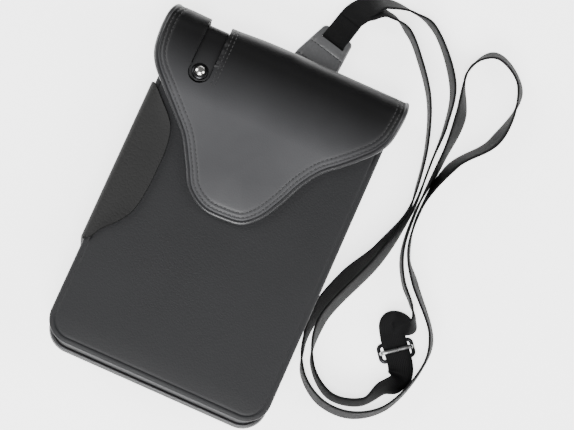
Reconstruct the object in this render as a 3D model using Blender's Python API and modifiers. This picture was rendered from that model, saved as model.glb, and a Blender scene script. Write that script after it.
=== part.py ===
"""A leather ever ready case: a tall pouch for a folding camera, lying on its back.

X runs across the case, Y from its bottom to its mouth and Z from its back to its front. The origin
is the centre of the back panel's outer face, so the case stands on the plane z = 0.
"""

import math

import bmesh
import bpy
from mathutils import Matrix, Vector

MM = 0.001
GAP = 0.3 * MM  # clearance between neighbouring pieces
LEATHER = 2.0 * MM  # thickness of the body's leather
LINING = 0.8 * MM

# Pouch
HALF_WIDTH = 64 * MM
BOTTOM = -98 * MM
MOUTH = 92 * MM  # top edge of the front panel and the gusset
BACK_TOP = 96.4 * MM
CORNER = 14 * MM  # radius of the two bottom corners
FRONT = 38.5 * MM  # height of the front panel's outer face
PIPING_R = 1.1 * MM
GUSSET_INSET = 2.5 * MM
BOARD = 1.5 * MM
BOARD_INSET = 5.2 * MM

# Flap and its spine
FLAP_LOW = 41.5 * MM
FLAP_LEATHER = 1.8 * MM
FLAP_LINING_LOW = 40.6 * MM
FLAP_TOP = 96.4 * MM  # the edge next to the fold
BINDING_R = 1.3 * MM
SPINE_HALF_WIDTH = 66 * MM
SPINE_BACK = 97.7 * MM
SPINE_LEATHER = 1.8 * MM
SPINE_LOW = 5.4 * MM
SPINE_HIGH = 41.0 * MM
SLOT_X = -44.2 * MM  # centre line of the slot for the retaining strap
SLOT_R = 6.3 * MM
SLOT_END = 65.6 * MM  # centre of the slot's round end

# Retaining strap with its snap
RETAINER_HALF = 5.3 * MM
RETAINER_LEG = 94.6 * MM
RETAINER_THICK = 1.6 * MM
RETAINER_PIVOT = 10.6 * MM  # height at which the leg bends, clear of the slot's lower end
RETAINER_TOP = 42.2 * MM
RETAINER_TIP = 62.8 * MM  # its corners stay inside the slot's round end
SNAP_Y = 66.4 * MM

# Side leaf
LEAF_EDGE = -65.8 * MM
LEAF_LOW = 38.8 * MM
LEAF_THICK = 1.6 * MM

# Strap tab: its own frame has its origin inside the back seam and runs along the tab
TAB_ORIGIN = Vector((6.0 * MM, 85 * MM, 2.3 * MM))
TAB_LEAN = math.radians(13.6)
TAB_LENGTH = 43.4 * MM
TAB_THICK = 1.8 * MM
TAB_SLOT = 37.4 * MM

# Carrying strap
STRAP_WIDTH = 14 * MM
STRAP_THICK = 1.2 * MM
STRAP_REST = 0.2 * MM  # clearance under the strap
STRAP_STATIONS = 79

# Slider of the strap: a frame under the webbing and a raised bar over it
SLIDER = Vector((115.5 * MM, -23 * MM, 0))
SLIDER_TURN = math.radians(-52)  # direction in which the webbing passes it
SLIDER_LENGTH = 11 * MM
SLIDER_WIDTH = 20.4 * MM
SLIDER_BAR = 2.0 * MM

# Free edge of the flap, from its top left corner round the tip to its top right corner, in mm
FLAP_EDGE = [
    (-69, 96), (-72, 80), (-71, 67), (-67.5, 59.5), (-58.8, 50), (-48.8, 40), (-38.8, 29.5),
    (-30.7, 16), (-23.5, 4), (-12.5, -2.8), (0, -3.5), (10.5, -1.8), (18.5, 5), (25.5, 17),
    (31.8, 31), (38.7, 41.5), (46.3, 48.5), (54.5, 56.5), (62, 65), (66, 73), (67.6, 83), (69, 96),
]  # fmt: skip

# Curved edge of the side leaf, from its bottom to its top, in mm
LEAF_CURVE = [
    (-61.8, -40.8), (-57.8, -34), (-51.8, -27.5), (-46.2, -18.5), (-44, -6), (-43.4, 8),
    (-43.8, 21), (-46, 31), (-50, 37), (-55.5, 42.5), (-61, 48),
]  # fmt: skip

# Route of the carrying strap: x and y in mm, its lean in degrees (0 and 180 flat, 90 on edge) and
# how far it is lifted, in mm. It leaves the tab, turns back at the right-hand loop and returns.
STRAP_ROUTE = [
    (18.2, 135.3, 0, 1.6), (19.6, 140, 4, 1.5), (27, 146, 30, 1.2), (38, 148, 66, 0.4),
    (51, 143.5, 90, 0), (63.2, 131.3, 90, 0), (76.6, 112.7, 90, 0), (85.6, 88.7, 90, 0),
    (89.5, 67.6, 90, 0), (90.8, 49.7, 85, 0), (83.9, 23.8, 72, 0), (73.6, 1.5, 62, 0),
    (66.7, -21.1, 66, 0), (67.6, -42.5, 82, 0), (73.9, -57.1, 92, 0), (88.3, -66.8, 96, 0),
    (106.1, -66.7, 98, 0), (122.1, -55.3, 96, 0), (132, -26.8, 94, 0), (130, -9.6, 104, 0),
    (110.2, 14.3, 110, 0), (100.6, 27.7, 100, 0), (96.7, 52.3, 90, 0), (103.5, 83.8, 68, 0),
    (119.4, 106.6, 66, 0), (120.4, 140.2, 108, 0), (101.5, 151.7, 116, 0), (90.3, 137.8, 90, 0),
    (96.5, 111.1, 62, 0), (96.6, 84.4, 78, 0), (94.6, 51.4, 90, 0), (97.1, 26.7, 90, 0),
    (104.2, 12.2, 88, 0), (112.1, 3.6, 86, 0), (117.1, -3.3, 78, 0), (117.6, -8.5, 62, 0.3),
    (107.6, -10.5, 8, 2.2), (110, -15.9, 0, 2.3), (121, -30.1, 0, 2.3), (122.6, -34.5, 6, 2.1),
    (122.2, -40.3, 44, 1), (116.3, -45.9, 64, 0.3), (109.3, -57.4, 80, 0), (92, -61.6, 84, 0),
    (76, -49.5, 90, 0), (71.3, -26.3, 108, 0), (86.3, 18.2, 108, 0), (92.6, 50.5, 95, 0),
    (91.7, 80.3, 92, 0), (91, 102.4, 88, 0), (85.7, 125.6, 85, 0), (63, 151.7, 92, 0),
    (50, 155, 104, 0.2), (34, 153.3, 124, 1.2), (24.5, 147.4, 158, 2.6), (19.6, 140, 176, 3.1),
    (18.2, 135.3, 180, 3.2),
]  # fmt: skip


def fresh_scene():
    for obj in list(bpy.data.objects):
        bpy.data.objects.remove(obj)
    groups = {}
    for name in ("ever_ready_case", "cutters"):
        groups[name] = bpy.data.collections.new(name)
        bpy.context.scene.collection.children.link(groups[name])
    groups["cutters"].hide_render = True
    return groups["ever_ready_case"], groups["cutters"]


PARTS, CUTTERS = fresh_scene()


def finish(name, colour, roughness, metallic=0.0):
    """A Principled material of one colour."""
    material = bpy.data.materials.new(name)
    material.use_nodes = True
    shader = material.node_tree.nodes["Principled BSDF"]
    shader.inputs["Base Color"].default_value = (*colour, 1)
    shader.inputs["Roughness"].default_value = roughness
    shader.inputs["Metallic"].default_value = metallic
    return material


FRONT_LEATHER = finish("front_leather", (0.045, 0.046, 0.05), 0.55)
FLAP_HIDE = finish("flap_leather", (0.05, 0.05, 0.053), 0.35)
PIPING_HIDE = finish("piping_leather", (0.02, 0.02, 0.021), 0.4)
LINING_CLOTH = finish("lining", (0.06, 0.055, 0.05), 0.9)
STIFFENER = finish("stiffening_board", (0.25, 0.19, 0.12), 0.9)
WEBBING = finish("webbing", (0.015, 0.015, 0.016), 0.8)
SATIN_HIDE = finish("satin_tab_leather", (0.12, 0.12, 0.125), 0.4)
NICKEL = finish("nickel", (0.8, 0.8, 0.8), 0.2, 1.0)
DARK_METAL = finish("dark_metal", (0.25, 0.25, 0.27), 0.3, 1.0)
PATCH = finish("closure_tape", (0.02, 0.02, 0.02), 0.95)


def placed(name, data, material, collection=PARTS):
    obj = bpy.data.objects.new(name, data)
    collection.objects.link(obj)
    data.materials.append(material)
    return obj


def axis_point(name, location, parent=None):
    """An empty on a joint's axis, which carries the pieces that turn or slide there."""
    empty = bpy.data.objects.new(name, None)
    PARTS.objects.link(empty)
    start = Vector()
    if parent:
        empty.parent = parent
        start = Vector(parent["place"])
    empty.location = Vector(location) - start
    empty["place"] = list(location)
    return empty


def carry(empty, *pieces):
    for piece in pieces:
        piece.parent = empty
        piece.matrix_parent_inverse = Matrix.Translation(-Vector(empty["place"]))


def metres(points):
    return [(x * MM, y * MM) for x, y in points]


def arc(cx, cy, radius, start, end, steps=6):
    """Points of an arc, from one angle in degrees to another."""
    turns = [math.radians(start + (end - start) * i / steps) for i in range(steps + 1)]
    return [(cx + radius * math.cos(t), cy + radius * math.sin(t)) for t in turns]


def smooth(points, steps):
    """Points of a centripetal Catmull-Rom curve through the given ones, of any dimension."""
    given = [Vector(p) for p in points]
    given = [2 * given[0] - given[1], *given, 2 * given[-1] - given[-2]]
    found = []
    for p0, p1, p2, p3 in zip(given, given[1:], given[2:], given[3:]):
        t1 = math.sqrt((p1 - p0).length)
        t2 = t1 + math.sqrt((p2 - p1).length)
        t3 = t2 + math.sqrt((p3 - p2).length)
        for step in range(steps):
            t = t1 + (t2 - t1) * step / steps
            a1 = p0.lerp(p1, t / t1)
            a2 = p1.lerp(p2, (t - t1) / (t2 - t1))
            a3 = p2.lerp(p3, (t - t2) / (t3 - t2))
            b1 = a1.lerp(a2, t / t2)
            b2 = a2.lerp(a3, (t - t1) / (t3 - t1))
            found.append(b1.lerp(b2, (t - t1) / (t2 - t1)))
    return [*found, given[-2]]


def inward(path, distance):
    """The open path moved to its left by a distance."""
    moved = []
    for i, point in enumerate(path):
        along = Vector(path[min(i + 1, len(path) - 1)]) - Vector(path[max(i - 1, 0)])
        along.normalize()
        moved.append((point[0] - along.y * distance, point[1] + along.x * distance))
    return moved


def plate(name, rings, low, thickness, material, collection=PARTS):
    """A flat piece: its outline and holes filled, standing on the height low."""
    curve = bpy.data.curves.new(name, "CURVE")
    curve.dimensions = "2D"
    curve.fill_mode = "BOTH"
    curve.extrude = thickness / 2
    for ring in rings:
        spline = curve.splines.new("POLY")
        spline.points.add(len(ring) - 1)
        for point, place in zip(spline.points, ring):
            point.co = (*place, 0, 1)
        spline.use_cyclic_u = True
    obj = placed(name, curve, material, collection)
    obj.location.z = low + thickness / 2
    return obj


def tube(name, path, radius, material, resolution=2):
    """A round cord along a path in space."""
    curve = bpy.data.curves.new(name, "CURVE")
    curve.dimensions = "3D"
    curve.twist_mode = "Z_UP"
    curve.bevel_depth = radius
    curve.bevel_resolution = resolution
    curve.use_fill_caps = True
    spline = curve.splines.new("POLY")
    spline.points.add(len(path) - 1)
    for point, place in zip(spline.points, path):
        point.co = (*place, 1)
    return placed(name, curve, material)


def rectangle(x0, y0, x1, y1):
    return [(x0, y0), (x1, y0), (x1, y1), (x0, y1)]


def pouch_path(inset, top):
    """Down the left side, round the bottom and up the right side, inset from the pouch's edge."""
    half = HALF_WIDTH - inset
    low = BOTTOM + inset
    radius = CORNER - inset
    left = arc(-half + radius, low + radius, radius, 180, 270)
    right = arc(half - radius, low + radius, radius, 270, 360)
    return [(-half, top), *left, *right, (half, top)]


def to_mesh(obj):
    """The curve object as a mesh object with welded caps."""
    graph = bpy.context.evaluated_depsgraph_get()
    mesh = bpy.data.meshes.new_from_object(obj.evaluated_get(graph))
    work = bmesh.new()
    work.from_mesh(mesh)
    bmesh.ops.remove_doubles(work, verts=work.verts, dist=0.001 * MM)
    work.to_mesh(mesh)
    work.free()
    name = obj.name
    place = obj.matrix_world.copy()
    bpy.data.objects.remove(obj)
    solid = bpy.data.objects.new(name, mesh)
    PARTS.objects.link(solid)
    solid.matrix_world = place
    return solid


def turned(name, profile, centre, material, steps=24):
    """A round piece: a profile of radius and height in mm, top to bottom, turned about Z."""
    mesh = bpy.data.meshes.new(name)
    work = bmesh.new()
    verts = [work.verts.new((r * MM, 0, z * MM)) for r, z in profile]
    for first, second in zip(verts, verts[1:]):
        work.edges.new((first, second))
    if profile[0][0] > 0:
        work.edges.new((verts[-1], verts[0]))
    work.to_mesh(mesh)
    work.free()
    obj = placed(name, mesh, material)
    obj.location = centre
    screw = obj.modifiers.new("turn", "SCREW")
    screw.steps = steps
    screw.render_steps = steps
    screw.use_merge_vertices = True
    screw.merge_threshold = 0.01 * MM
    return obj


def body():
    """Back, front and gusset of the pouch with their piping, boards and linings."""
    plate("back_panel", [pouch_path(0, BACK_TOP)], 0, LEATHER, FRONT_LEATHER)
    back_board_low = LEATHER + GAP
    plate("back_board", [pouch_path(BOARD_INSET, 81 * MM)], back_board_low, BOARD, STIFFENER)
    back_lining_low = TAB_ORIGIN.z + TAB_THICK + GAP
    plate("back_lining", [pouch_path(BOARD_INSET, MOUTH)], back_lining_low, LINING, LINING_CLOTH)
    low = LEATHER + GAP
    high = FRONT - LEATHER - GAP
    outer = pouch_path(GUSSET_INSET, MOUTH)
    inner = pouch_path(GUSSET_INSET + LEATHER, MOUTH)
    plate("gusset", [outer + inner[::-1]], low, high - low, FRONT_LEATHER)
    outer = pouch_path(BOARD_INSET, MOUTH)
    inner = pouch_path(BOARD_INSET + LINING, MOUTH)
    lining_low = back_lining_low + LINING + GAP
    lining_high = FRONT - LEATHER - BOARD - LINING - 3 * GAP
    plate("gusset_lining", [outer + inner[::-1]], lining_low, lining_high - lining_low, LINING_CLOTH)
    plate("front_lining", [pouch_path(BOARD_INSET, MOUTH)], lining_high + GAP, LINING, LINING_CLOTH)
    board_low = FRONT - LEATHER - BOARD - GAP
    plate("front_board", [pouch_path(BOARD_INSET, MOUTH)], board_low, BOARD, STIFFENER)
    plate("front_panel", [pouch_path(0, MOUTH)], FRONT - LEATHER, LEATHER, FRONT_LEATHER)
    inset = GUSSET_INSET - GAP - PIPING_R
    path = pouch_path(inset, MOUTH)
    back_seam = LEATHER + GAP + PIPING_R
    tube("back_piping", [(x, y, back_seam) for x, y in path], PIPING_R, PIPING_HIDE)
    front_seam = FRONT - LEATHER - GAP - PIPING_R
    tube("front_piping", [(x, y, front_seam) for x, y in path], PIPING_R, PIPING_HIDE)
    half = HALF_WIDTH - BOARD_INSET
    strip = rectangle(-half, MOUTH + GAP, half, MOUTH + 5 * GAP)
    binding_low = FRONT - LEATHER - BOARD - LINING - 2 * GAP
    plate("mouth_binding", [strip], binding_low, FRONT - binding_low, PIPING_HIDE)
    patch = rectangle(-14 * MM, 10 * MM, 14 * MM, 24 * MM)
    plate("closure_loop_patch", [patch], FRONT + GAP, 0.6 * MM, PATCH)


def strap_tab():
    """The leather tab of the carrying strap with the webbing folded through its slot."""
    half_base = 14 * MM
    half_end = 10 * MM
    outline = [(-half_base, 0), (half_base, 0), (13.2 * MM, 22 * MM)]
    outline += arc(half_end - 3 * MM, TAB_LENGTH - 3 * MM, 3 * MM, 0, 90)
    outline += arc(-half_end + 3 * MM, TAB_LENGTH - 3 * MM, 3 * MM, 90, 180)
    outline += [(-13.2 * MM, 22 * MM)]
    slot_half = STRAP_WIDTH / 2 + 0.7 * MM
    slot = rectangle(-slot_half, TAB_SLOT - 1.2 * MM, slot_half, TAB_SLOT + 1.2 * MM)
    tab = plate("strap_tab", [outline, slot], TAB_ORIGIN.z, TAB_THICK, SATIN_HIDE)
    tab.location.xy = TAB_ORIGIN.xy
    tab.rotation_euler.z = -TAB_LEAN

    low = 0.7 * MM
    high = 5.6 * MM
    wall = 1.0 * MM
    start = TAB_SLOT - 0.4 * MM
    end = TAB_LENGTH + GAP + wall
    neck = TAB_LENGTH + 3.5 * MM
    tip = TAB_LENGTH + 5.2 * MM
    outside = [(start, low), (end, low), (neck, 1.8 * MM), (tip, 1.8 * MM), (tip, 4.6 * MM)]
    outside += [(neck, 4.6 * MM), (end, high), (start, high)]
    inside = rectangle(start + wall, low + wall, TAB_LENGTH + GAP, high - wall)
    loop = plate("strap_end_loop", [outside, inside], 0, STRAP_WIDTH, WEBBING)
    # The outline's first axis runs along the tab and its second one upwards.
    across = Matrix.Rotation(math.pi / 2, 4, "X")
    along = Matrix.Rotation(math.pi / 2 - TAB_LEAN, 4, "Z")
    loop.matrix_world = Matrix.Translation((*TAB_ORIGIN.xy, 0)) @ along @ across


def flap():
    """The flap with its spine: outer leather, lining and bound edge, cut by the strap's slot."""
    spine_pivot = (0, SPINE_BACK + SPINE_LEATHER / 2, SPINE_LOW - 0.5 * MM)
    flap_pivot = (0, SPINE_BACK + SPINE_LEATHER / 2, FLAP_LOW)
    spine_axis = axis_point("spine_axis", spine_pivot)
    flap_axis = axis_point("flap_axis", flap_pivot, spine_axis)

    edge = [tuple(p) for p in smooth(metres(FLAP_EDGE), 3)]
    slot = [(SLOT_X + SLOT_R, FLAP_TOP)]
    slot += arc(SLOT_X, SLOT_END, SLOT_R, 0, -180, 12)
    slot += [(SLOT_X - SLOT_R, FLAP_TOP)]
    leather_edge = inward(edge, 2 * BINDING_R + GAP)
    leather = plate("flap_leather", [leather_edge + slot], FLAP_LOW, FLAP_LEATHER, FLAP_HIDE)
    lining_edge = inward(edge, 2 * BINDING_R + 2 * GAP)
    lining = plate("flap_lining", [lining_edge + slot], FLAP_LINING_LOW, LINING - 0.2 * MM, LINING_CLOTH)
    height = FLAP_LOW + FLAP_LEATHER / 2
    rim = [(x, y, height) for x, y in inward(edge, BINDING_R)]
    binding = tube("flap_binding", rim, BINDING_R, PIPING_HIDE)
    patch = rectangle(-14 * MM, 10 * MM, 14 * MM, 24 * MM)
    hooks = plate("closure_hook_patch", [patch], FLAP_LINING_LOW - 0.9 * MM, 0.6 * MM, PATCH)
    carry(flap_axis, leather, lining, binding, hooks)

    half = SPINE_HALF_WIDTH
    left = SLOT_X - SLOT_R
    right = SLOT_X + SLOT_R
    notch_low = SPINE_LOW + 3 * MM
    outline = [(-half, SPINE_LOW), (half, SPINE_LOW), (half, SPINE_HIGH), (right, SPINE_HIGH)]
    outline += [(right, notch_low), (left, notch_low), (left, SPINE_HIGH), (-half, SPINE_HIGH)]
    upright = Matrix.Rotation(math.pi / 2, 4, "X")
    spine = plate("spine_leather", [outline], 0, SPINE_LEATHER, FLAP_HIDE)
    spine.matrix_world = Matrix.Translation((0, SPINE_BACK + SPINE_LEATHER / 2, 0)) @ upright
    inner = plate("spine_lining", [outline], 0, LINING - 0.2 * MM, LINING_CLOTH)
    inner.matrix_world = Matrix.Translation((0, SPINE_BACK - 2 * GAP, 0)) @ upright
    carry(spine_axis, spine, inner)


def retainer():
    """The retaining strap, which crosses the mouth and snaps on to the front, with its fittings."""
    pivot = (SLOT_X, RETAINER_LEG + RETAINER_THICK / 2, RETAINER_PIVOT)
    axis = axis_point("retainer_axis", pivot)
    thick = RETAINER_THICK
    leg = RETAINER_LEG
    tip = RETAINER_TIP
    heel = arc(leg + thick / 2, RETAINER_PIVOT, thick / 2, 180, 360)
    bend = arc(leg - 1.4 * MM, RETAINER_TOP - 3 * MM, 3 * MM, 0, 90)
    inner_bend = arc(leg - 1.4 * MM, RETAINER_TOP - 3 * MM, 3 * MM - thick, 90, 0)
    profile = [*heel, *bend, (tip, RETAINER_TOP)]
    profile += [(tip, RETAINER_TOP - thick), *inner_bend]
    strip = plate("retainer_strap", [profile], 0, 2 * RETAINER_HALF, PIPING_HIDE)
    # The profile's axes become Y and Z, and its thickness runs along X.
    profile_stand = Matrix(((0, 0, 1, SLOT_X), (1, 0, 0, 0), (0, 1, 0, 0), (0, 0, 0, 1)))
    strip.matrix_world = profile_stand
    bpy.context.view_layer.update()
    strip = to_mesh(strip)
    bpy.ops.mesh.primitive_cylinder_add(
        vertices=24, radius=2.7 * MM, depth=12 * MM, location=(SLOT_X, SNAP_Y, 41 * MM)
    )
    cutter = bpy.context.object
    cutter.name = "snap_hole"
    cutter.users_collection[0].objects.unlink(cutter)
    CUTTERS.objects.link(cutter)
    cutter.hide_render = True
    cutter.display_type = "WIRE"
    hole = strip.modifiers.new("snap hole", "BOOLEAN")
    hole.operation = "DIFFERENCE"
    hole.solver = "EXACT"
    hole.object = cutter

    centre = (SLOT_X, SNAP_Y, 0)
    dome = [(0, 44.3), (1.6, 44.2), (3.0, 43.8), (4.1, 43.2), (4.6, 42.5), (0, 42.5)]
    cap = turned("snap_cap", dome, centre, NICKEL)
    ring = [(1.9, 42.2), (2.4, 42.2), (2.4, 40.3), (4, 40.3), (4, 39.7), (1.9, 39.7)]
    socket = turned("snap_socket", ring, centre, NICKEL)
    post = [(0, 41.2), (1.2, 41.1), (1.6, 40.7), (1.4, 39.4), (4, 39.3), (4, 38.8), (0, 38.8)]
    turned("snap_stud", post, centre, NICKEL)
    carry(axis, strip, cap, socket)

    back = 80 * MM
    low = 5.6 * MM
    high = RETAINER_PIVOT - thick / 2 - GAP
    stub = [(back, low), (leg + thick, low), (leg + thick, high), (leg, high)]
    stub += [(leg, low + 1.2 * MM), (back, low + 1.2 * MM)]
    anchor = plate("retainer_anchor", [stub], 0, 2 * RETAINER_HALF, PIPING_HIDE)
    anchor.matrix_world = profile_stand


def side_leaf():
    """The leaf on the left: an upright part along the side and a loose part over the front."""
    bottom = -42 * MM
    top = 52 * MM
    side_low = 3 * MM
    upright = rectangle(LEAF_EDGE, bottom, LEAF_EDGE + 1.5 * MM, top)
    plate("wing_side", [upright], side_low, LEAF_LOW - GAP - side_low, FRONT_LEATHER)
    axis = axis_point("wing_axis", (LEAF_EDGE, 0, LEAF_LOW - GAP))
    curve = [tuple(p) for p in smooth(metres(LEAF_CURVE), 2)]
    outline = [(LEAF_EDGE, top), (LEAF_EDGE, bottom), *curve]
    leaf = plate("wing_leaf", [outline], LEAF_LOW, LEAF_THICK, FRONT_LEATHER)
    carry(axis, leaf)


def carrying_strap():
    """The webbing: a flat band that mostly stands on its edge."""
    fine = []
    for x, y, lean, lift in smooth_route():
        tip = math.radians(lean)
        half_height = STRAP_WIDTH / 2 * math.sin(tip) + STRAP_THICK / 2 * abs(math.cos(tip))
        fine.append((Vector((x, y, STRAP_REST + half_height + lift)), tip))
    lengths = [0]
    for (first, _), (second, _) in zip(fine, fine[1:]):
        lengths.append(lengths[-1] + (second - first).length)
    curve = bpy.data.curves.new("strap", "CURVE")
    curve.dimensions = "3D"
    curve.twist_mode = "Z_UP"
    curve.bevel_depth = STRAP_THICK / 2
    curve.bevel_resolution = 0
    curve.extrude = STRAP_WIDTH / 2 - STRAP_THICK / 2
    curve.use_fill_caps = True
    spline = curve.splines.new("POLY")
    spline.points.add(STRAP_STATIONS - 1)
    at = 0
    for station, point in enumerate(spline.points):
        wanted = lengths[-1] * station / (STRAP_STATIONS - 1)
        while at < len(lengths) - 2 and lengths[at + 1] < wanted:
            at += 1
        share = (wanted - lengths[at]) / (lengths[at + 1] - lengths[at])
        place = fine[at][0].lerp(fine[at + 1][0], min(share, 1))
        tip = fine[at][1] + (fine[at + 1][1] - fine[at][1]) * min(share, 1)
        point.co = (*place, 1)
        # Blender's upward twist has the band on edge at no tilt.
        point.tilt = math.pi / 2 - tip
    placed("strap", curve, WEBBING)


def smooth_route(steps=10):
    """The strap's route in metres and degrees: a smooth curve, with lean and lift in even steps."""
    places = smooth(metres([point[:2] for point in STRAP_ROUTE]), steps)
    for i, place in enumerate(places):
        first = STRAP_ROUTE[i // steps]
        second = STRAP_ROUTE[min(i // steps + 1, len(STRAP_ROUTE) - 1)]
        share = (i % steps) / steps
        lean = first[2] + (second[2] - first[2]) * share
        lift = first[3] + (second[3] - first[3]) * share
        yield place.x, place.y, lean, lift * MM


def slider():
    """The strap's slider: a flat ring under the webbing and an arched bar over it."""
    axis = axis_point("slider_axis", SLIDER)
    long_half = SLIDER_LENGTH / 2
    wide_half = SLIDER_WIDTH / 2
    outer = rectangle(-long_half, -wide_half, long_half, wide_half)
    inner = rectangle(
        -long_half + SLIDER_BAR, -wide_half + SLIDER_BAR, long_half - SLIDER_BAR, wide_half - SLIDER_BAR
    )
    frame = plate("slider_frame", [outer, inner], 0, 1.7 * MM, DARK_METAL)
    turn = Matrix.Rotation(SLIDER_TURN, 4, "Z")
    frame.matrix_world = Matrix.Translation(SLIDER + Vector((0, 0, 1.3 * MM))) @ turn

    low = 2.45 * MM
    under = 4.1 * MM
    top = 5.7 * MM
    inside = wide_half - SLIDER_BAR
    arch = [(-wide_half, low), (-inside, low), (-inside, under), (inside, under), (inside, low)]
    arch += [(wide_half, low), (wide_half, under), (wide_half - 1.5 * MM, top)]
    arch += [(-wide_half + 1.5 * MM, top), (-wide_half, under)]
    bar = plate("slider_bar", [arch], 0, 2.4 * MM, DARK_METAL)
    # The arch stands up: its outline runs across the webbing and upwards.
    stand = Matrix.Rotation(math.pi / 2, 4, "Z") @ Matrix.Rotation(math.pi / 2, 4, "X")
    bar.matrix_world = Matrix.Translation(SLIDER) @ turn @ stand
    carry(axis, frame, bar)


body()
strap_tab()
flap()
retainer()
side_leaf()
carrying_strap()
slider()
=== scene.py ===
# %% [markdown]
# # A leather ever ready case for a folding camera
# The case is a tall pouch of black leather with a shaped flap, a snap strap, a side leaf and a
# woven carrying strap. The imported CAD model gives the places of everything. This lesson dresses
# it: most flat solids are replaced by sheets of leather with rolled edges, grooves and stitches.
# Sheets could be sculpted by hand, but working them out from distances keeps every seam even.

import math

import bmesh
import bpy
from mathutils import Matrix, Vector


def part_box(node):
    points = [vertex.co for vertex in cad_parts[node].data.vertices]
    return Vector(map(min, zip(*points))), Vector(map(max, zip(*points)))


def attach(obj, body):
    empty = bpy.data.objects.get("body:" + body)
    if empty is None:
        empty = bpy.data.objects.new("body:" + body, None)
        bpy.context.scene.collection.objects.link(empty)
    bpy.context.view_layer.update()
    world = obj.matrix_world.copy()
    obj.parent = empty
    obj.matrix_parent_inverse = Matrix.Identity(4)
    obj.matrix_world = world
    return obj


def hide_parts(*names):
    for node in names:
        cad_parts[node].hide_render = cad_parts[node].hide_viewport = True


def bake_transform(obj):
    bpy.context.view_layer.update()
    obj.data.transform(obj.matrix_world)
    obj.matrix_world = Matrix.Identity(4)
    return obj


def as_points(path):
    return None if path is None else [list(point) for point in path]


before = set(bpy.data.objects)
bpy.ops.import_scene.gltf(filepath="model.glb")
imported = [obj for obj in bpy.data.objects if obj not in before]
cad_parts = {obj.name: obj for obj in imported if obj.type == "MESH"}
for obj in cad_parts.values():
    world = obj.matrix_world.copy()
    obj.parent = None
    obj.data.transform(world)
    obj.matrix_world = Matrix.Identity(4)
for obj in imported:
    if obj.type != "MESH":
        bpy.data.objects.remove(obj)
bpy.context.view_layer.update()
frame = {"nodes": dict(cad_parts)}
nodes = frame["nodes"]
MM = 0.001

# %% [markdown]
# ## Camera and room
# The case lies on its back on a pale table. A long lens from high up keeps its sides parallel,
# where a short one would spread them. The camera is rolled, so that the case leans in the view.

# %% Camera
TILT = math.radians(11)
ROLL = math.radians(24)
DISTANCE, FOCAL_LENGTH = 1.6, 184.2
back = Vector((0, -math.sin(TILT), math.cos(TILT)))
level = Vector((1, 0, 0))
upward = Vector((0, math.cos(TILT), math.sin(TILT)))
right = math.cos(ROLL) * level + math.sin(ROLL) * upward
top = math.cos(ROLL) * upward - math.sin(ROLL) * level
aim = Vector((30.5, 17.4, 22.4)) * MM
lens = bpy.data.cameras.new("camera")
lens.sensor_width = 36
lens.lens = FOCAL_LENGTH
camera = bpy.data.objects.new("camera", lens)
turn = Matrix((right, top, back)).transposed().to_4x4()
camera.matrix_world = Matrix.Translation(aim + DISTANCE * back) @ turn
bpy.context.scene.collection.objects.link(camera)
bpy.context.scene.camera = camera
print("camera is", round((camera.location - aim).length, 2), "m away")

# %% [markdown]
# Black leather shows its shape by what it mirrors, so the lights are wide soft panels: one past
# the foot of the case, one on each side, and a small one high up that gives the flap its sheen.
# Nothing stands behind the mouth, so the bend of the flap stays dark.


# %% Lights
def soft_panel(name, place, target, size, power):
    data = bpy.data.lights.new(name, "AREA")
    data.shape = "RECTANGLE"
    data.size, data.size_y = size
    data.energy = power
    lamp = bpy.data.objects.new(name, data)
    lamp.location = place
    aim_at = Vector(target) - Vector(place)
    lamp.rotation_euler = aim_at.to_track_quat("-Z", "Y").to_euler()
    bpy.context.scene.collection.objects.link(lamp)
    return lamp


soft_panel("foot_light", (0.35, -1.5, 1.35), (0, -0.02, 0), (1.5, 0.9), 50)
soft_panel("left_light", (-1.6, 0.2, 1.1), (0, 0, 0), (0.9, 1.4), 30)
soft_panel("high_light", (0.12, -0.62, 1.75), (0.02, 0.0, 0), (0.6, 0.42), 26)
soft_panel("right_light", (1.7, 0.3, 1.2), (0.02, 0, 0), (0.9, 1.2), 26)
room = bpy.data.worlds.new("room")
room.use_nodes = True
room.node_tree.nodes["Background"].inputs["Color"].default_value = (1, 1, 1, 1)
room.node_tree.nodes["Background"].inputs["Strength"].default_value = 0.15
bpy.context.scene.world = room

# %% [markdown]
# ## Shader arithmetic
# Grain, weave and wear are patterns worked out from coordinates. A small class lets them be
# written as ordinary sums, and each sum adds its Math node.


# %% A value that can be added and multiplied
class Value:
    """A shader socket that takes part in arithmetic."""

    def __init__(self, finish, socket):
        self.finish = finish
        self.socket = socket

    def maths(self, operation, *others):
        values = dict(enumerate([self, *others]))
        return self.finish.node("ShaderNodeMath", {"operation": operation}, values)

    def __add__(self, other):
        return self.maths("ADD", other)

    def __sub__(self, other):
        return self.maths("SUBTRACT", other)

    def __rsub__(self, other):
        return self.maths("MULTIPLY_ADD", -1.0, other)

    def __mul__(self, other):
        return self.maths("MULTIPLY", other)

    def __pow__(self, other):
        return self.maths("POWER", other)


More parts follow.
